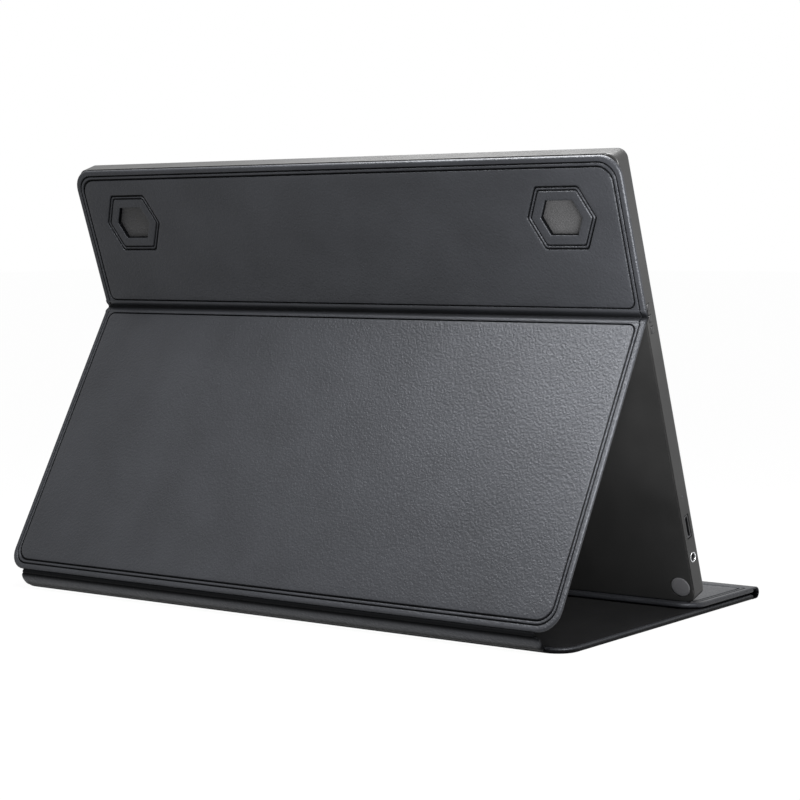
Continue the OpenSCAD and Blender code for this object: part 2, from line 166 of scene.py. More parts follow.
class Shape:
    """A mesh under construction in one of the frames above, in millimetres."""

    def __init__(self, at):
        self.at, self.points, self.shades, self.faces = at, [], [], []

    def line(self, points, shades=0):
        """Adds points. shades gives the painted shade of each one, or of all of them, from 0 to 1."""
        first = len(self.points)
        self.points += [Vector(p) for p in points]
        self.shades += shades if isinstance(shades, list) else [shades] * len(points)
        return list(range(first, first + len(points)))

    def ring(self, loop, z, shade=0):
        """Adds a loop of points at one height."""
        return self.line([(p.x, p.y, z) for p in loop], shade)

    def bridge(self, a, b):
        """Joins two closed rings of as many points."""
        for i in range(len(a)):
            j = (i + 1) % len(a)
            self.faces.append((a[i], a[j], b[j], b[i]))

    def rings(self, rings):
        for a, b in zip(rings, rings[1:]):
            self.bridge(a, b)

    def cap(self, ring, z, holes=(), step=EDGE_STEP):
        """Fills a ring, apart from its holes, with a grid of triangles at height z(x, y).
        Sides are bent a little for it, since points on a straight line give flat triangles."""
        loops = [ring, *holes]
        known = [i for loop in loops for i in loop]
        points = [self.points[i].to_2d() for i in known]
        low = Vector((min(p.x for p in points), min(p.y for p in points)))
        high = Vector((max(p.x for p in points), max(p.y for p in points)))

        def bent(p):
            u, v = (2 * (p[k] - low[k]) / (high[k] - low[k]) - 1 for k in (0, 1))
            return Vector((p.x + BEND * u * (1 - v * v), p.y + BEND * v * (1 - u * u)))

        edges, flat = [], []
        for loop in loops:
            first = len(edges)
            flat.append([bent(p) for p in points[first:first + len(loop)]])
            edges += [(first + k, first + (k + 1) % len(loop)) for k in range(len(loop))]
        across = max(1, round((high.x - low.x) / step))
        up = max(1, round((high.y - low.y) / step))
        for i in range(1, across):
            for j in range(1, up):
                p = Vector((low.x + (high.x - low.x) * i / across,
                            low.y + (high.y - low.y) * j / up))
                at = bent(p)
                if not inside(at, flat[0]) or any(inside(at, hole) for hole in flat[1:]):
                    continue
                if min(distance_to(at, loop) for loop in flat) > step * GRID_CLEAR:
                    points.append(p)
        made = geometry.delaunay_2d_cdt([bent(p) for p in points], edges, [], 0,
                                        SAME_FLAT_POINT)
        sources = [source[0] for source in made[3]]
        index = {}
        for n in sources:
            p = points[n]
            index[n] = known[n] if n < len(known) else self.line([(p.x, p.y, z(p.x, p.y))])[0]
        for face in made[2]:
            middle = sum((made[0][i] for i in face), Vector((0, 0))) / len(face)
            if inside(middle, flat[0]) and not any(inside(middle, h) for h in flat[1:]):
                self.faces.append(tuple(index[sources[i]] for i in face))

    def build(self, name, material, body=None):
        mesh = bpy.data.meshes.new(name)
        mesh.from_pydata([self.at @ p for p in self.points], [], self.faces)
        # Per-point painted shade, which the leather materials turn into darker colour and weaker reflection.
        mesh.attributes.new("painted_shade", "FLOAT", "POINT").data.foreach_set("value", self.shades)
        work = bmesh.new()
        work.from_mesh(mesh)
        bmesh.ops.remove_doubles(work, verts=work.verts, dist=SAME_POINT)
        bmesh.ops.recalc_face_normals(work, faces=work.faces)
        work.to_mesh(mesh)
        work.free()
        mesh.shade_smooth()
        mesh.set_sharp_from_angle(angle=math.radians(SHARP_ANGLE))
        mesh.materials.append(material)
        piece = bpy.data.objects.new(name, mesh)
        bpy.context.scene.collection.objects.link(piece)
        if body:
            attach(piece, body)
        return piece


# Materials

class Surface:
    """Builds one procedural material from layers of noise."""

    def __init__(self, name, colour, roughness, metallic=0.0, **sockets):
        self.material = bpy.data.materials.new(name)
        self.material.use_nodes = True
        self.nodes, self.links = self.material.node_tree.nodes, self.material.node_tree.links
        self.shader = self.nodes["Principled BSDF"]
        self.shader.inputs["Base Color"].default_value = (*colour, 1)
        self.shader.inputs["Roughness"].default_value = roughness
        self.shader.inputs["Metallic"].default_value = metallic
        for socket, value in sockets.items():
            self.shader.inputs[socket.replace("_", " ")].default_value = value
        self.colour = colour
        self.where = self.nodes.new("ShaderNodeTexCoord").outputs["Object"]
        self.normal = None

    def stretched(self, scale):
        """Coordinates stretched along the axes, for brushed metal, fibres and tracks."""
        mapping = self.nodes.new("ShaderNodeMapping")
        mapping.inputs["Scale"].default_value = scale
        self.links.new(self.where, mapping.inputs["Vector"])
        return mapping.outputs["Vector"]

    def noise(self, size, detail=2.0, where=None):
        """Noise whose lumps are about size metres across."""
        node = self.nodes.new("ShaderNodeTexNoise")
        node.inputs["Scale"].default_value = 1 / size
        node.inputs["Detail"].default_value = detail
        self.links.new(where or self.where, node.inputs["Vector"])
        return node.outputs["Fac"]

    def cells(self, size, where=None, smooth=0.6):
        """Rounded pebbles about size metres across."""
        node = self.nodes.new("ShaderNodeTexVoronoi")
        node.feature = "SMOOTH_F1"
        node.inputs["Scale"].default_value = 1 / size
        node.inputs["Smoothness"].default_value = smooth
        self.links.new(where or self.where, node.inputs["Vector"])
        return node.outputs["Distance"]

    def warped(self, size, amount):
        """Coordinates pushed about by noise, so that cells aren't regular."""
        push = self.nodes.new("ShaderNodeTexNoise")
        push.inputs["Scale"].default_value = 1 / size
        push.inputs["Detail"].default_value = 1.0
        self.links.new(self.where, push.inputs["Vector"])
        mix = self.nodes.new("ShaderNodeVectorMath")
        mix.operation = "MULTIPLY_ADD"
        mix.inputs[1].default_value = (amount, amount, amount)
        self.links.new(push.outputs["Color"], mix.inputs[0])
        self.links.new(self.where, mix.inputs[2])
        return mix.outputs["Vector"]

    def spread(self, value, low, high, start=0.3, stop=0.7):
        """Maps start..stop of a value to low..high."""
        node = self.nodes.new("ShaderNodeMapRange")
        for socket, number in (("From Min", start), ("From Max", stop),
                               ("To Min", low), ("To Max", high)):
            node.inputs[socket].default_value = number
        self.links.new(value, node.inputs["Value"])
        return node.outputs["Result"]

    def mottle(self, value, dark, light, start=0.3, stop=0.7):
        """Varies the base colour between dark and light times itself."""
        node = self.nodes.new("ShaderNodeMix")
        node.data_type = "RGBA"
        node.inputs["A"].default_value = (*(c * dark for c in self.colour), 1)
        node.inputs["B"].default_value = (*(c * light for c in self.colour), 1)
        self.links.new(self.spread(value, 0, 1, start, stop), node.inputs["Factor"])
        self.links.new(node.outputs["Result"], self.shader.inputs["Base Color"])
        return self

    def paint_fold_shade(self, colour=0.12, shine=0.12):
        """Paints shade into the bottoms of grooves and folds, which the meshes mark: darker base colour and weaker
        reflection there.
        """
        mark = self.nodes.new("ShaderNodeAttribute")
        mark.attribute_name = "painted_shade"
        old = self.shader.inputs["Base Color"]
        mix = self.nodes.new("ShaderNodeMix")
        mix.data_type = "RGBA"
        self.links.new(mark.outputs["Fac"], mix.inputs["Factor"])
        self.links.new(old.links[0].from_socket, mix.inputs["A"])
        mix.inputs["B"].default_value = (*(c * colour for c in self.colour), 1)
        self.links.new(mix.outputs["Result"], old)
        level = self.shader.inputs["Specular IOR Level"]
        full = level.default_value
        self.links.new(self.spread(mark.outputs["Fac"], full, full * shine, 0, 1), level)
        return self

    def vary_roughness(self, value, low, high):
        self.links.new(self.spread(value, low, high), self.shader.inputs["Roughness"])
        return self

    def bump(self, value, height):
        """Adds relief of height metres. Each call adds to the ones before."""
        node = self.nodes.new("ShaderNodeBump")
        node.inputs["Distance"].default_value = height
        self.links.new(value, node.inputs["Height"])
        if self.normal:
            self.links.new(self.normal, node.inputs["Normal"])
        self.normal = node.outputs["Normal"]
        self.links.new(self.normal, self.shader.inputs["Normal"])
        return self


def leather(name, grain):
    """Pebbled artificial leather. grain is the depth of the pebbles in metres."""
    s = Surface(name, (0.0095, 0.01, 0.0115), 0.44, Specular_IOR_Level=0.26,
                Specular_Tint=(0.9, 0.93, 1, 1))
    pebbles = s.cells(0.00125, s.warped(0.0021, 0.0016))
    s.mottle(s.noise(0.03, 3), 0.85, 1.15)
    # Painted shade: darker colour and weaker reflection where the mesh marks grooves, folds and edges.
    s.paint_fold_shade()
    s.vary_roughness(s.noise(0.0016, 2), 0.4, 0.52)
    s.bump(pebbles, -grain)
    s.bump(s.noise(0.0006, 2), grain * 0.3)
    return s.material


def lining():
    s = Surface("lining", (0.003, 0.003, 0.0032), 0.7, Specular_IOR_Level=0.04,
                Sheen_Weight=0.01, Sheen_Roughness=0.5)
    s.mottle(s.noise(0.012, 4), 0.8, 1.3)
    s.bump(s.noise(0.0004, 3), 0.00008)
    return s.material


def housing_plastic():
    s = Surface("housing", (0.012, 0.012, 0.012), 0.42, Specular_IOR_Level=0.25)
    s.mottle(s.noise(0.04, 3), 0.85, 1.2)
    s.vary_roughness(s.noise(0.01, 4), 0.38, 0.46)
    s.bump(s.noise(0.0009, 2), 0.000004)
    return s.material


def satin_plastic(name, colour, roughness=0.4, grain=0.00001):
    s = Surface(name, colour, roughness)
    s.mottle(s.noise(0.02, 3), 0.85, 1.2)
    s.vary_roughness(s.noise(0.004, 3), roughness - 0.05, roughness + 0.06)
    s.bump(s.noise(0.00035, 2), grain)
    return s.material


def metal(name, colour, roughness, brushed=False):
    s = Surface(name, colour, roughness, 1.0)
    lines = s.noise(0.0004, 2, s.stretched((0.04, 1, 1))) if brushed else s.noise(0.0012, 3)
    s.mottle(s.noise(0.006, 3), 0.9, 1.06)
    s.vary_roughness(lines, roughness * 0.75, roughness * 1.3)
    s.bump(lines, 0.000006)
    return s.material


def screen_glass():
    s = Surface("screen", (0.004, 0.0045, 0.006), 0.12, Coat_Weight=0.6, Coat_Roughness=0.05)
    s.mottle(s.noise(0.05, 2), 0.9, 1.1)
    s.vary_roughness(s.noise(0.02, 4), 0.1, 0.16)
    return s.material


def circuit_board():
    s = Surface("circuit_board", (0.008, 0.07, 0.03), 0.4)
    tracks = s.cells(0.0022, s.stretched((1, 0.5, 1)), 0.0)
    s.mottle(tracks, 0.7, 1.6, 0.2, 0.5)
    s.bump(tracks, 0.00004)
    return s.material


def fibre_board():
    s = Surface("board", (0.25, 0.2, 0.14), 0.9)
    s.mottle(s.noise(0.0015, 5, s.stretched((0.3, 1, 1))), 0.75, 1.2)
    s.bump(s.noise(0.0006, 4), 0.00006)
    return s.material


def speaker_cloth():
    s = Surface("speaker_cloth", (0.02, 0.02, 0.021), 0.75)
    weave = s.cells(0.0007, smooth=0.2)
    s.mottle(weave, 1.25, 0.6, 0.1, 0.6)
    s.bump(weave, -0.00012)
    return s.material


GRAIN = 0.00016
LEATHER = leather("leather_panel", GRAIN)
LEATHER_SMOOTH = leather("leather_fold", GRAIN * 0.4)
LINING = lining()

SLOT_MATERIALS = {
    "leather": LEATHER,
    "lining": LINING,
    "housing": housing_plastic(),
    "bezel": satin_plastic("bezel", (0.008, 0.008, 0.009), 0.35),
    "screen": screen_glass(),
    "light_guide": satin_plastic("light_guide", (0.7, 0.72, 0.73), 0.3),
    "circuit_board": circuit_board(),
    "chip": satin_plastic("chip", (0.015, 0.015, 0.016), 0.5),
    "steel": metal("steel", (0.55, 0.56, 0.58), 0.3, True),
    "flex": satin_plastic("flex", (0.55, 0.3, 0.06), 0.35),
    "port_shell": metal("port_shell", (0.1, 0.1, 0.105), 0.35),
    "bright_ring": metal("bright_ring", (0.85, 0.86, 0.88), 0.12),
    "black_plastic": satin_plastic("black_plastic", (0.012, 0.012, 0.013), 0.45),
    "lamp": satin_plastic("lamp", (0.012, 0.014, 0.02), 0.15),
    "button": satin_plastic("button", (0.006, 0.006, 0.0065), 0.3),
    "rubber": satin_plastic("rubber", (0.05, 0.05, 0.053), 0.22),
    "board": fibre_board(),
    "magnet": metal("magnet", (0.62, 0.62, 0.6), 0.25),
    "speaker_cloth": speaker_cloth(),
}


def finish_cad_nodes():
    """Gives every CAD node the material of its slot in the record."""
    for part in frame["record"]["subparts"]:
        node = frame["nodes"][part["node"]]
        node.data.materials.clear()
        node.data.materials.append(SLOT_MATERIALS[part["material_slot"]])


# Cover panels

# Pressed double groove round a panel, as (distance from the edge, height over the face).
# Two grooves lie at each side of a bead, and the pad inside them is slightly fuller.
GROOVE_IN = 5.2
GROOVE = [(2.35, 0), (2.6, -0.05), (2.8, -0.35), (3.0, -0.65), (3.3, -0.65),
          (3.5, -0.35), (3.7, -0.05), (3.95, 0.02), (4.4, 0.02), (4.65, -0.05), (4.85, -0.4),
          (5.05, -0.75), (5.45, -0.75), (5.7, -0.4), (5.95, -0.05), (6.3, 0.03)]
GROOVE_FLOOR = 0.5
PAD = [(8, 0.7), (11, 1)]
BEAD_END = 4.0
EDGE_ROUND = 1.1
EDGE_STEPS = 6
CORNER_FOLLOW = 0.55

# At the crease a panel keeps CREASE_SHARE of the groove's distance from its edge. Corners
# there are nearly square up to the bead, and round inside it.
CREASE_SHARE = 0.25
CREASE_SQUARE = 0.25
CREASE_ROUND = 9.2
CREASE_DEEPEST = 7.5
TURN_IN = 2.6
LINING_DROP = 0.35
WAVE = 0.05
WAVE_SIZE = 45
BACK_STEP = 30


def side_inset(distance, share):
    """Inset of one side at a distance into the profile. share tells how much of the
    groove's usual distance from the edge that side keeps."""
    kept = GROOVE_IN * share
    return distance * share if distance < GROOVE_IN else kept + distance - GROOVE_IN


class Panel:
    """Outline of one board of the cover and its two faces."""

    def __init__(self, leather_node, lining_node, at, radii, shares, puff=0.15, painted_edge_shade=0):
        low, high = local_box(leather_node, at)
        inner_low, inner_high = local_box(lining_node, at)
        self.at, self.half = at, high.x
        self.low, self.high = inner_low.y, inner_high.y
        self.outer, self.inner = low.z, inner_high.z
        self.radii, self.shares, self.puff = radii, shares, puff
        # Height over the outer face through which the rounded edge gets painted shade; 0 for none.
        self.painted_edge_shade = painted_edge_shade
        self.corners = rectangle(self.half, self.low, self.high)
        self.cuts = cuts_for(self.corners)

    def loop(self, distance):
        sides, low, high = self.shares
        insets = [side_inset(distance, s) for s in (low, sides, high, sides)]
        low_r, high_r = (self.corner(radius, share, distance)
                         for radius, share in zip(self.radii, (low, high)))
        return rounded(self.corners, insets, (low_r, low_r, high_r, high_r), self.cuts)

    def corner(self, radius, share, distance):
        """Radius of a loop's corners. At the crease the outer groove runs straight on."""
        if share == CREASE_SHARE:
            if distance < BEAD_END:
                return CREASE_SQUARE
            return CREASE_ROUND - min(distance, CREASE_DEEPEST)
        return max(radius - CORNER_FOLLOW * distance, min(radius, 1), 3 - 3 / (1 + distance))

    def face(self, height):
        """Local z of a height over the leather face."""
        return self.outer - height

    def wave(self, x, y):
        return WAVE * noise.noise(Vector((x, y, self.half)) / WAVE_SIZE)


def edge_profile(panel):
    """Loops over the rounded edge, from the inner face to the outer one."""
    thick = panel.inner - panel.outer - LINING_DROP
    inner = panel.inner - LINING_DROP
    bend = min(EDGE_ROUND, thick / 2)
    points = [(TURN_IN, inner)]
    turns = [math.pi / 2 * k / EDGE_STEPS for k in range(EDGE_STEPS + 1)]
    for turn in turns:
        points.append((bend * (1 - math.sin(turn)), inner - bend * (1 - math.cos(turn))))
    for turn in turns:
        points.append((bend * (1 - math.cos(turn)), panel.outer + bend * (1 - math.sin(turn))))
    return points


def painted_shade_at(panel, distance, z):
    """How much painted shade a panel's point gets: groove floors fully, and an edge near the table."""
    if distance > EDGE_ROUND and z < panel.inner - LINING_DROP - 0.1:
        return min(max((z - panel.outer) / GROOVE_FLOOR, 0), 1) ** 1.5
    if panel.painted_edge_shade:
        return 1 - min(max((z - panel.outer) / panel.painted_edge_shade, 0), 1) ** 6
    return 0


def leather_shell(name, panel, body, node, hexagons=()):
    """Leather wrapped round a board: rounded edges, pressed grooves and a slightly full pad."""
    shape = Shape(panel.at)
    profile = edge_profile(panel)
    profile += [(d, panel.face(h)) for d, h in GROOVE]
    profile += [(d, panel.face(panel.puff * h)) for d, h in PAD]
    # Each ring gets painted shade in its groove floors and, on the base, on the edge near the table.
    rings = [shape.ring(panel.loop(d), z, painted_shade_at(panel, d, z)) for d, z in profile]
    shape.rings(rings)
    top, bottom = [], []
    for corners in hexagons:
        outer, inner = hexagon_rings(shape, panel, corners)
        top.append(outer)
        bottom.append(inner)
    full = panel.face(panel.puff)
    shape.cap(rings[-1], lambda x, y: full - panel.wave(x, y), top)
    shape.cap(rings[0], lambda x, y: panel.inner - LINING_DROP, bottom, BACK_STEP)
    piece = shape.build(name, LEATHER, body)
    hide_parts(node)
    return piece


HEX_FLAT = 0.31
HEX_WIDTH = 40
HEX_HEIGHT = 32.2
HEX_CORNER = 2.0
HOLE_IN = 7.3
HOLE_ROUND = 0.6
HOLE_FACE = 0.1
HEX_CUTS = [4] * 6


def hexagon_rings(shape, panel, corners):
    """Pressed ring and opening over a speaker, in a panel's pad."""
    top = panel.puff

    def ring(inset, z):
        radius = max(HEX_CORNER - 0.2 * inset, 0.6)
        # Painted shade in the pressed grooves and down the opening's wall, growing with depth.
        shade = min(max((z - panel.outer) / GROOVE_FLOOR, 0), 1) ** 1.5
        return shape.ring(rounded(corners, [inset] * 6, [radius] * 6, HEX_CUTS, 4), z, shade)

    steps = [(-2.0, top), (-0.5, top), (-0.25, 0.05), (0.0, -0.4), (0.25, -0.62), (0.55, -0.62),
             (0.8, -0.4), (1.05, 0.0), (1.45, 0.02), (1.7, -0.3), (1.95, -0.5), (2.25, -0.5),
             (2.5, -0.25), (2.8, 0.05), (3.4, HOLE_FACE),
             (HOLE_IN - 1.6, HOLE_FACE)]
    rings = [ring(inset, panel.face(h)) for inset, h in steps]
    for k in range(1, 6):
        turn = math.pi / 2 * k / 5
        rings.append(ring(HOLE_IN - HOLE_ROUND * (1 - math.sin(turn)),
                          panel.face(HOLE_FACE - HOLE_ROUND * (1 - math.cos(turn)))))
    rings.append(ring(HOLE_IN, panel.inner - LINING_DROP))
    shape.rings(rings)
    return rings[0], rings[-1]


def lining_sheet(name, panel, body, node, holes=()):
    """Soft lining glued inside a panel, over the leather's turned-in edge."""
    shape = Shape(panel.at)
    top, drop = panel.inner, LINING_DROP + 0.05
    profile = [(TURN_IN - 0.5, top - drop), (TURN_IN - 0.5, top - 0.2),
               (TURN_IN - 0.3, top - 0.05), (TURN_IN, top), (TURN_IN + 2, top)]
    rings = [shape.ring(panel.loop(d), z) for d, z in profile]
    shape.rings(rings)
    upper, lower = [], []
    for corners in holes:
        pair = [shape.ring(rounded(corners, [HOLE_IN - 0.3] * 6, [0.6] * 6, HEX_CUTS, 4), z)
                for z in (top, top - drop)]
        shape.rings(pair)
        upper.append(pair[0])
        lower.append(pair[1])
    shape.cap(rings[-1], lambda x, y: top - abs(panel.wave(x, y)), upper)
    shape.cap(rings[0], lambda x, y: top - drop, lower, BACK_STEP)
    piece = shape.build(name, LINING, body)
    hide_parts(node)


UPPER = Panel("upper_leather", "upper_lining", AT_MONITOR, (1, 11), (1, CREASE_SHARE, 1))
STRUT = Panel("strut_leather", "strut_lining", AT_STRUT, (11, 1), (0.84, 1, CREASE_SHARE))
# The base's edge gets painted shade up to 2.2 mm from its outer face, near the table.
BASE = Panel("base_leather", "base_lining", AT_BASE, (1, 11), (1, 1, 1), 0, 2.2)
FLAP = Panel("flap_leather", "flap_lining", AT_FLAP, (11, 1), (1, 1, 1))

# The hexagons' middle and the crease, both up the monitor from its lower edge.
HEX_FROM_LOW, CREASE_FROM_LOW = 205.4, 154.3
HEX_X = 142.5
HEX_UP = HEX_FROM_LOW - CREASE_FROM_LOW
HEXAGONS = [hexagon(Vector((side * HEX_X, HEX_UP)), HEX_WIDTH, HEX_HEIGHT)
            for side in (-1, 1)]

upper_cover = leather_shell("upper_cover", UPPER, "monitor", "upper_leather", HEXAGONS)
strut_cover = leather_shell("strut_cover", STRUT, "strut", "strut_leather")
base_cover = leather_shell("base_cover", BASE, "base", "base_leather")
flap_cover = leather_shell("flap_cover", FLAP, "flap", "flap_leather")
lining_sheet("upper_lining_sheet", UPPER, "monitor", "upper_lining", HEXAGONS)
lining_sheet("strut_lining_sheet", STRUT, "strut", "strut_lining")
lining_sheet("base_lining_sheet", BASE, "base", "base_lining")
lining_sheet("flap_lining_sheet", FLAP, "flap", "flap_lining")


# Bare leather at the hinges

END_STEPS = [0, 0.1, 0.3, 0.65, 1.1]
STRIP_ROUND = 0.5
INNER_FALL = 0.6
CREASE_REACH = 3.4
CREASE_BEAD = 4.3
THIN_REACH = 1.0


def round_off(distance, bend=EDGE_ROUND):
    """How far a face falls away near a rounded edge."""
    if distance >= bend:
        return 0
    return bend - math.sqrt(bend ** 2 - (bend - distance) ** 2)


def groove_at(distance):
    """Height of the outer groove at a distance from the edge."""
    for (a, low), (b, high) in zip(GROOVE, GROOVE[1:]):
        if a <= distance <= b < BEAD_END:
            return low + (high - low) * (distance - a) / (b - a)
    return 0


def across(half, step=7):
    """Places along x, close together near both ends."""
    near = END_STEPS + [d for d, _ in GROOVE if d < BEAD_END]
    middle = half - near[-1]
    count = 2 * round(middle / step)
    inner = [middle * (2 * k / count - 1) for k in range(1, count)]
    return [d - half for d in near] + inner + [half - d for d in reversed(near)]


def folded(y, z, angle, reach):
    """Turns a point of a section about the hinge: not at all past reach, fully before -reach."""
    t = min(max((reach - y) / (2 * reach), 0), 1)
    turn = math.radians(angle) * t * t * (3 - 2 * t)
    return (y * math.cos(turn) - z * math.sin(turn), y * math.sin(turn) + z * math.cos(turn))


def sweep(name, at, half, section, material, body=None, step=7):
    """Closed section carried along x. section(d, x) gives its points, each with its painted
    shade, with as many outer points as inner ones."""
    shape = Shape(at)
    rings = []
    for x in across(half, step):
        points = section(half - abs(x), x)
        rings.append(shape.line([(x, y, z) for y, z, _ in points], [s for _, _, s in points]))
    shape.rings(rings)
    last = len(rings[0]) - 1
    for ring in (rings[0], rings[-1]):
        for k in range(last // 2):
            shape.faces.append((ring[k], ring[k + 1], ring[last - k - 1], ring[last - k]))
    return shape.build(name, material, body)


def mirrored(half_section):
    return half_section + [(-y, z) for y, z in reversed(half_section[:-1])]


def strip(name, at, half, outer, inner, angle, reach, grooved=0.0, painted_shade=None):
    """Leather strip over a hinge that is folded by an angle in the standing pose. Its inner side gets full painted
    shade, and so does its outer side when no painted-shade function is given.
    """
    def section(d, x):
        fall = round_off(d, STRIP_ROUND)
        low = groove_at(d)
        points = []
        for y, z in outer:
            keep = grooved * min(1, 0.35 + abs(y) / 4)
            # Painted shade from the given function or from the groove's depth; full painted shade when no function
            # is given.
            shade = max(painted_shade(abs(y)), min(-low * keep / GROOVE_FLOOR, 1)) if painted_shade else 1
            points.append((*folded(y, z + fall - low * keep, angle, reach), shade))
        back = [(*folded(y, z - fall * INNER_FALL, angle, reach), 1) for y, z in reversed(inner)]
        return points + back
    return sweep(name, at, half, section, LEATHER_SMOOTH)


def crease_painted_shade(y):
    """Painted shade at the bottom of the crease and in the grooves at both sides of it."""
    valley = max(0, 1 - y / CREASE_REACH) ** 0.8
    return max(valley, min(max((y - CREASE_BEAD) / 0.3, 0), 1))


CREASE_OUTER = mirrored([(4.8, -1.2), (4.66, -1.45), (4.5, -1.74), (4.25, -1.9), (3.8, -1.94),
                         (3.2, -1.9), (2.6, -1.79), (2.0, -1.62), (1.4, -1.4), (0.9, -1.2),
                         (0.4, -1.04), (0, -0.97)])
CREASE_INNER = mirrored([(4.4, -1.0), (4.3, -0.8), (4.2, -0.5), (4.0, -0.1), (3.6, 0.2),
                         (3.1, 0.38), (2.6, 0.42), (2.0, 0.42), (1.4, 0.42), (0.9, 0.42),
                         (0.4, 0.42), (0, 0.42)])
crease = strip("crease_fold_leather", AT_MONITOR, UPPER.half - 0.02, CREASE_OUTER, CREASE_INNER,
               opening("crease_fold"), CREASE_REACH, 1.0, crease_painted_shade)
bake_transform(crease)
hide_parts("crease_leather")

THIN_OUTER = mirrored([(2.3, -0.3), (1.9, -0.42), (1.4, -0.5), (0.9, -0.55), (0.4, -0.58),
                       (0, -0.6)])
THIN_INNER = mirrored([(2.3, 0.3), (1.9, 0.4), (1.4, 0.45), (0.9, 0.45), (0.4, 0.4), (0, 0.36)])
SPINE_HALF = local_box("spine_leather", AT_SPINE)[1].x
AT_SPINE_TOP = place("heel_fold", SPINE_TILT)

# Both thin strips get full painted shade all over.
heel = strip("heel_fold_leather", AT_HEEL, SPINE_HALF - 0.4, THIN_OUTER, THIN_INNER,
             -opening("heel_fold"), THIN_REACH)
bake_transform(heel)
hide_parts("heel_leather")

toe = strip("toe_fold_leather", AT_SPINE, SPINE_HALF - 0.4, THIN_OUTER, THIN_INNER,
            -opening("stand_fold"), THIN_REACH)
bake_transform(toe)
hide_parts("toe_leather")

FOLD_OUT = 3.1
FOLD_IN = 2.15
FOLD_STEPS = 14
FOLD_ROUND = 0.45
# Points of the front fold below this local height get full painted shade.
FOLD_SHADE_BELOW = 0.6
TONGUE = [(4.9, -0.3), (4.5, -0.1), (4.1, 0), (3, 0), (1.5, 0)]


def fold_path(radius, sign):
    """Half ring with a straight tongue at each end."""
    tongue = [(y, -(radius + sign * drop)) for y, drop in TONGUE]
    ring = [(-radius * math.sin(math.pi * k / FOLD_STEPS),
             -radius * math.cos(math.pi * k / FOLD_STEPS)) for k in range(FOLD_STEPS + 1)]
    return tongue + ring + [(y, -z) for y, z in reversed(tongue)]


def fold_section(d, x):
    fall = round_off(d, FOLD_ROUND)
    sag = 0.03 * noise.noise(Vector((x / 30, 0, 0)))
    path = (fold_path(FOLD_OUT - fall + sag, 1)
            + list(reversed(fold_path(FOLD_IN + fall * INNER_FALL, 0))))
    # The fold's points below a set height get full painted shade.
    return [(y, z, 1 if z < FOLD_SHADE_BELOW else 0) for y, z in path]


fold = sweep("front_fold_leather", AT_FOLD, BASE.half - 0.3, fold_section, LEATHER_SMOOTH)
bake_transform(fold)
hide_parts("fold_leather")

SPINE_LOW, SPINE_HIGH = 0.8, 10.4
SPINE_STEPS = 18
SPINE_END = 2.2
ROLL_SEAT = -0.15
ROLL_OUT, ROLL_IN = 2.15, 1.15
ROLL_MIDDLE = -0.3


def spine_section(d, x):
    """Padded roll between the strut's heel and the base, fullest on its outer side."""
    middle, reach = (SPINE_LOW + SPINE_HIGH) / 2, (SPINE_HIGH - SPINE_LOW) / 2
    end = min(d / SPINE_END, 1)
    size = 0.68 + 0.32 * math.sqrt(1 - (1 - end) ** 2)
    wave = noise.noise(Vector((x / 22, 3, 0)))
    ripple = noise.noise(Vector((x / 6, 7, 0)))
    outer, inner = [], []
    for k in range(SPINE_STEPS + 1):
        t = -math.cos(math.pi * k / SPINE_STEPS)
        y = middle + t * (reach + 0.1 * wave)
        full = math.sqrt(max(1 - abs(t) ** 2.4, 0))
        # Painted shade: the roll darkens toward the base and toward the heel, and its inner side is in full
        # painted shade.
        shade = min(max((0.1 - t) / 0.5, (t - 0.6) / 0.3, 0), 1)
        outer.append((y, ROLL_SEAT - (ROLL_OUT + 0.14 * wave + 0.05 * ripple) * full, shade))
        inner.append((y, ROLL_SEAT + ROLL_IN * math.sqrt(max(1 - abs(t) ** 5, 0)) + 0.001, 1))
    points = outer + list(reversed(inner))
    return [(middle + (y - middle) * size, ROLL_MIDDLE + (z - ROLL_MIDDLE) * size, s)
            for y, z, s in points]


spine = sweep("spine_roll", AT_SPINE, SPINE_HALF + 1.2, spine_section, LEATHER, "spine", 3)
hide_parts("spine_leather")


# Hard pieces that show

BEZEL_EDGE = 0.35
BEZEL_SIDE, BEZEL_TOP, BEZEL_BOTTOM = 5.5, 5.5, 15
CASE_CORNER, SCREEN_CORNER = 5, 1


def make_bezel():
    low, high = local_box("front_bezel", AT_MONITOR)
    shape = Shape(AT_MONITOR)
    corners = rectangle(high.x, low.y, high.y)
    cuts = cuts_for(corners, 20)

    def ring(share, extra, radius, z):
        insets = [BEZEL_BOTTOM * share + extra, BEZEL_SIDE * share + extra,
                  BEZEL_TOP * share + extra, BEZEL_SIDE * share + extra]
        return shape.ring(rounded(corners, insets, [radius] * 4, cuts), z)

    turns = [math.pi / 2 * k / 4 for k in range(5)]
    rings = [ring(0, 0, CASE_CORNER, low.z)]
    for a in turns:
        inset = BEZEL_EDGE * (1 - math.cos(a))
        rings.append(ring(0, inset, CASE_CORNER - inset,
                          high.z - BEZEL_EDGE * (1 - math.sin(a))))
    for a in turns:
        rings.append(ring(1, -BEZEL_EDGE * (1 - math.sin(a)), SCREEN_CORNER + BEZEL_EDGE,
                          high.z - BEZEL_EDGE * (1 - math.cos(a))))
    rings.append(ring(1, 0, SCREEN_CORNER, low.z))
    shape.rings(rings)
    shape.bridge(rings[-1], rings[0])
    piece = shape.build("bezel_frame", SLOT_MATERIALS["bezel"], "monitor")
    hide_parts("front_bezel")


def lathe(shape, centre, profile, steps=40):
    """Turned form about the shape's z axis. profile gives (radius, z) from middle or rim."""
    rings = []
    for radius, z in profile:
        rings.append(shape.ring([centre + Vector((radius * math.cos(2 * math.pi * k / steps),
                                                  radius * math.sin(2 * math.pi * k / steps)))
                                 for k in range(steps)], z))
    shape.rings(rings)
    return rings


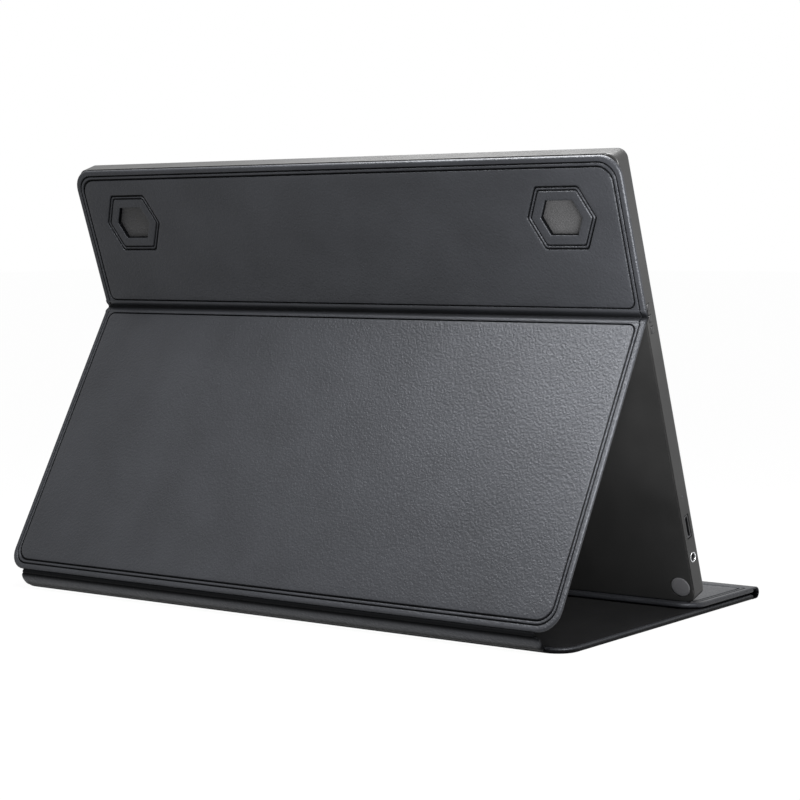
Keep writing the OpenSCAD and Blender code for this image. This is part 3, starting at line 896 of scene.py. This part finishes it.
PAD_TOP = [(1.2, -0.05), (2.6, -0.04), (3.9, 0.0), (4.6, 0.06), (5.05, 0.17), (5.3, 0.32),
           (5.4, 0.5), (5.4, 0.75)]


def make_pads():
    low, high = local_box("corner_pads", AT_MONITOR)
    shape = Shape(AT_MONITOR)
    radius = (high.y - low.y) / 2
    for side in (-1, 1):
        centre = Vector((side * (high.x - radius), (low.y + high.y) / 2))
        rings = lathe(shape, centre, [(r, low.z + d) for r, d in PAD_TOP])
        shape.faces += [tuple(rings[0]), tuple(rings[-1])]
    piece = shape.build("pad_discs", SLOT_MATERIALS["rubber"], "monitor")
    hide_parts("corner_pads")


# The case's side at -x, seen straight on: x up the side, z out of it.
AT_SIDE = AT_MONITOR @ Matrix(((0, 0, -1, 0), (1, 0, 0, 0), (0, -1, 0, 0), (0, 0, 0, 1)))
CAP_EDGE = 0.35
CAP_INSET = Vector((0.4, 0.35))
CAP_STEPS = 5
FLANGE_THICK = 0.5


def make_button(node):
    low, high = local_box(node, AT_SIDE)
    shape = Shape(AT_SIDE)
    middle = Vector(((low.x + high.x) / 2, (low.y + high.y) / 2))
    flange = Vector(((high.x - low.x) / 2, (high.y - low.y) / 2))
    cap = flange - CAP_INSET
    wide = [middle + Vector(p) for p in ((-flange.x, -flange.y), (flange.x, -flange.y),
                                         (flange.x, flange.y), (-flange.x, flange.y))]
    cuts = [3, 2, 3, 2]

    def ring(inset, radius, z):
        return shape.ring(rounded(wide, inset, [radius] * 4, cuts, 4), z)

    step = (flange.y - cap.y, flange.x - cap.x) * 2
    rings = [ring([0.1] * 4, 0.3, low.z), ring([0] * 4, 0.4, low.z + 0.1),
             ring([0] * 4, 0.4, low.z + FLANGE_THICK), ring(step, 0.5, low.z + FLANGE_THICK)]
    for k in range(CAP_STEPS + 1):
        turn = math.pi / 2 * k / CAP_STEPS
        inset = [s + CAP_EDGE * (1 - math.cos(turn)) for s in step]
        rings.append(ring(inset, 0.8 - 0.5 * CAP_EDGE * (1 - math.cos(turn)),
                          high.z - CAP_EDGE * (1 - math.sin(turn))))
    shape.rings(rings)
    shape.cap(rings[-1], lambda x, y: high.z, step=1)
    shape.faces.append(tuple(rings[0]))
    piece = shape.build(node + "_cap", SLOT_MATERIALS["button"], node)
    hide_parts(node)


RING_WALL = 0.45


def make_jack_ring():
    low, high = local_box("jack_ring", AT_SIDE)
    middle, radius = (low + high) / 2, (high.x - low.x) / 2
    hole = radius - RING_WALL
    shape = Shape(AT_SIDE)
    lip = [(hole, low.z), (hole, high.z - 0.2), (hole + 0.05, high.z - 0.08),
           (hole + 0.15, high.z), (radius - 0.18, high.z), (radius - 0.06, high.z - 0.08),
           (radius, high.z - 0.25), (radius, low.z)]
    rings = lathe(shape, middle.to_2d(), lip, 48)
    shape.bridge(rings[-1], rings[0])
    piece = shape.build("jack_lip", SLOT_MATERIALS["bright_ring"], "monitor")
    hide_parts("jack_ring")


CLOTH_THICK = 0.35
CLOTH_SAG = 0.12


def make_speaker_cloth():
    """Woven cloth stretched over the sound holes, a touch hollow in the middle."""
    low, high = local_box("speaker_cloth", AT_MONITOR)
    top = low.z
    width = high.x - HEX_X
    height = high.y - low.y
    shape = Shape(AT_MONITOR)
    for side in (-1, 1):
        corners = hexagon(Vector((side * HEX_X, HEX_UP)), 2 * width, height)
        rings = [shape.ring(rounded(corners, [inset] * 6, [0.3] * 6, [6] * 6, 3), top + z)
                 for inset, z in ((1.5, CLOTH_THICK), (0, CLOTH_THICK), (0, 0.02), (0.2, 0),
                                  (1.5, 0))]
        shape.rings(rings)
        shape.cap(rings[0], lambda x, y: top + CLOTH_THICK)
        middle = Vector((side * HEX_X, HEX_UP))

        def sag(x, y):
            return top + CLOTH_SAG * max(0, 1 - ((x - middle.x) / width) ** 2
                                        - ((y - middle.y) / height * 2) ** 2)
        shape.cap(rings[-1], sag, step=2)
    piece = shape.build("speaker_cloths", SLOT_MATERIALS["speaker_cloth"], "monitor")
    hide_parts("speaker_cloth")


make_bezel()
make_pads()
for button in ("power_button", "menu_up_button", "menu_down_button"):
    make_button(button)
make_jack_ring()
make_speaker_cloth()
finish_cad_nodes()


# Camera, lamps and floor

CAMERA_AT = (-0.726577, 0.929250, 0.201066)
CAMERA_AZIMUTH = 217.265
CAMERA_ELEVATION = 4.708
CAMERA_ROLL = -0.69
LENS = 99.4
SHIFT = -0.0011


def look(azimuth, elevation):
    """Unit vector from the object towards a viewer."""
    a, e = math.radians(azimuth), math.radians(elevation)
    return Vector((math.sin(a) * math.cos(e), -math.cos(a) * math.cos(e), math.sin(e)))


def add_camera():
    data = bpy.data.cameras.new("camera")
    data.lens = LENS
    data.shift_x = SHIFT
    data.clip_start, data.clip_end = 0.05, 50
    camera = bpy.data.objects.new("camera", data)
    back = look(CAMERA_AZIMUTH, CAMERA_ELEVATION)
    turn = (-back).to_track_quat("-Z", "Y").to_matrix().to_4x4()
    roll = Matrix.Rotation(math.radians(CAMERA_ROLL), 4, "Z")
    camera.matrix_world = Matrix.Translation(CAMERA_AT) @ turn @ roll
    bpy.context.scene.collection.objects.link(camera)
    bpy.context.scene.camera = camera


# Each lamp's name, direction seen from its target, distance, size, watts and target.
LAMPS = (
    ("key", (-0.04, 0.0, 0.35), 0.35, (0.34, 0.34), 10.5, (0.0, 0.09, 0.12)),
    ("side", (-0.18, 0.09, 0.0), 0.2, (0.12, 0.12), 1.5, (-0.1, 0.02, 0.17)),
)


def add_lamp(name, towards, distance, size, power, aim):
    """Soft square lamp that shines from a direction at a point."""
    data = bpy.data.lights.new(name, "AREA")
    data.shape = "RECTANGLE"
    data.size, data.size_y = size
    data.energy = power
    lamp = bpy.data.objects.new(name, data)
    direction = Vector(towards).normalized()
    lamp.location = Vector(aim) + direction * distance
    lamp.rotation_euler = direction.to_track_quat("Z", "Y").to_euler()
    bpy.context.scene.collection.objects.link(lamp)


def seen_directly(nodes, links):
    """1 for what the camera, a reflection or a glass sees straight, and else 0."""
    path = nodes.new("ShaderNodeLightPath")
    total = path.outputs["Is Camera Ray"]
    for ray in ("Is Glossy Ray", "Is Transmission Ray"):
        add = nodes.new("ShaderNodeMath")
        add.operation = "MAXIMUM"
        links.new(total, add.inputs[0])
        links.new(path.outputs[ray], add.inputs[1])
        total = add.outputs[0]
    return total


WORLD_LIGHT = 0.5


def add_world():
    world = bpy.data.worlds.new("world")
    bpy.context.scene.world = world
    world.use_nodes = True
    nodes, links = world.node_tree.nodes, world.node_tree.links
    light = nodes["Background"]
    light.inputs["Color"].default_value = (1, 1, 1, 1)
    light.inputs["Strength"].default_value = WORLD_LIGHT
    white = nodes.new("ShaderNodeBackground")
    white.inputs["Color"].default_value = (1, 1, 1, 1)
    mix = nodes.new("ShaderNodeMixShader")
    links.new(seen_directly(nodes, links), mix.inputs["Fac"])
    links.new(light.outputs[0], mix.inputs[1])
    links.new(white.outputs[0], mix.inputs[2])
    links.new(mix.outputs[0], nodes["World Output"].inputs["Surface"])


FLOOR_SIZE = 12
FLOOR_COLOUR = (0.8, 0.8, 0.8, 1)
FLOOR_SHARE = 0.975


def add_floor():
    """Plain pale floor. What is seen straight glows by FLOOR_SHARE, and only the rest of it
    takes light, so the object's shadow on it is faint."""
    material = bpy.data.materials.new("floor")
    material.use_nodes = True
    nodes, links = material.node_tree.nodes, material.node_tree.links
    paint = nodes["Principled BSDF"]
    paint.inputs["Base Color"].default_value = FLOOR_COLOUR
    paint.inputs["Roughness"].default_value = 0.9
    glow = nodes.new("ShaderNodeEmission")
    share = nodes.new("ShaderNodeMath")
    share.operation = "MULTIPLY"
    share.inputs[1].default_value = FLOOR_SHARE
    links.new(seen_directly(nodes, links), share.inputs[0])
    mix = nodes.new("ShaderNodeMixShader")
    links.new(share.outputs[0], mix.inputs["Fac"])
    links.new(paint.outputs[0], mix.inputs[1])
    links.new(glow.outputs[0], mix.inputs[2])
    links.new(mix.outputs[0], nodes["Material Output"].inputs["Surface"])
    half = FLOOR_SIZE / 2
    mesh = bpy.data.meshes.new("floor")
    mesh.from_pydata([(-half, -half, 0), (half, -half, 0), (half, half, 0), (-half, half, 0)],
                     [], [(0, 1, 2, 3)])
    mesh.materials.append(material)
    floor = bpy.data.objects.new("floor", mesh)
    bpy.context.scene.collection.objects.link(floor)


add_camera()
add_world()
add_floor()
for lamp_facts in LAMPS:
    add_lamp(*lamp_facts)
bpy.context.scene.view_settings.view_transform = "Standard"

bpy.context.view_layer.update()
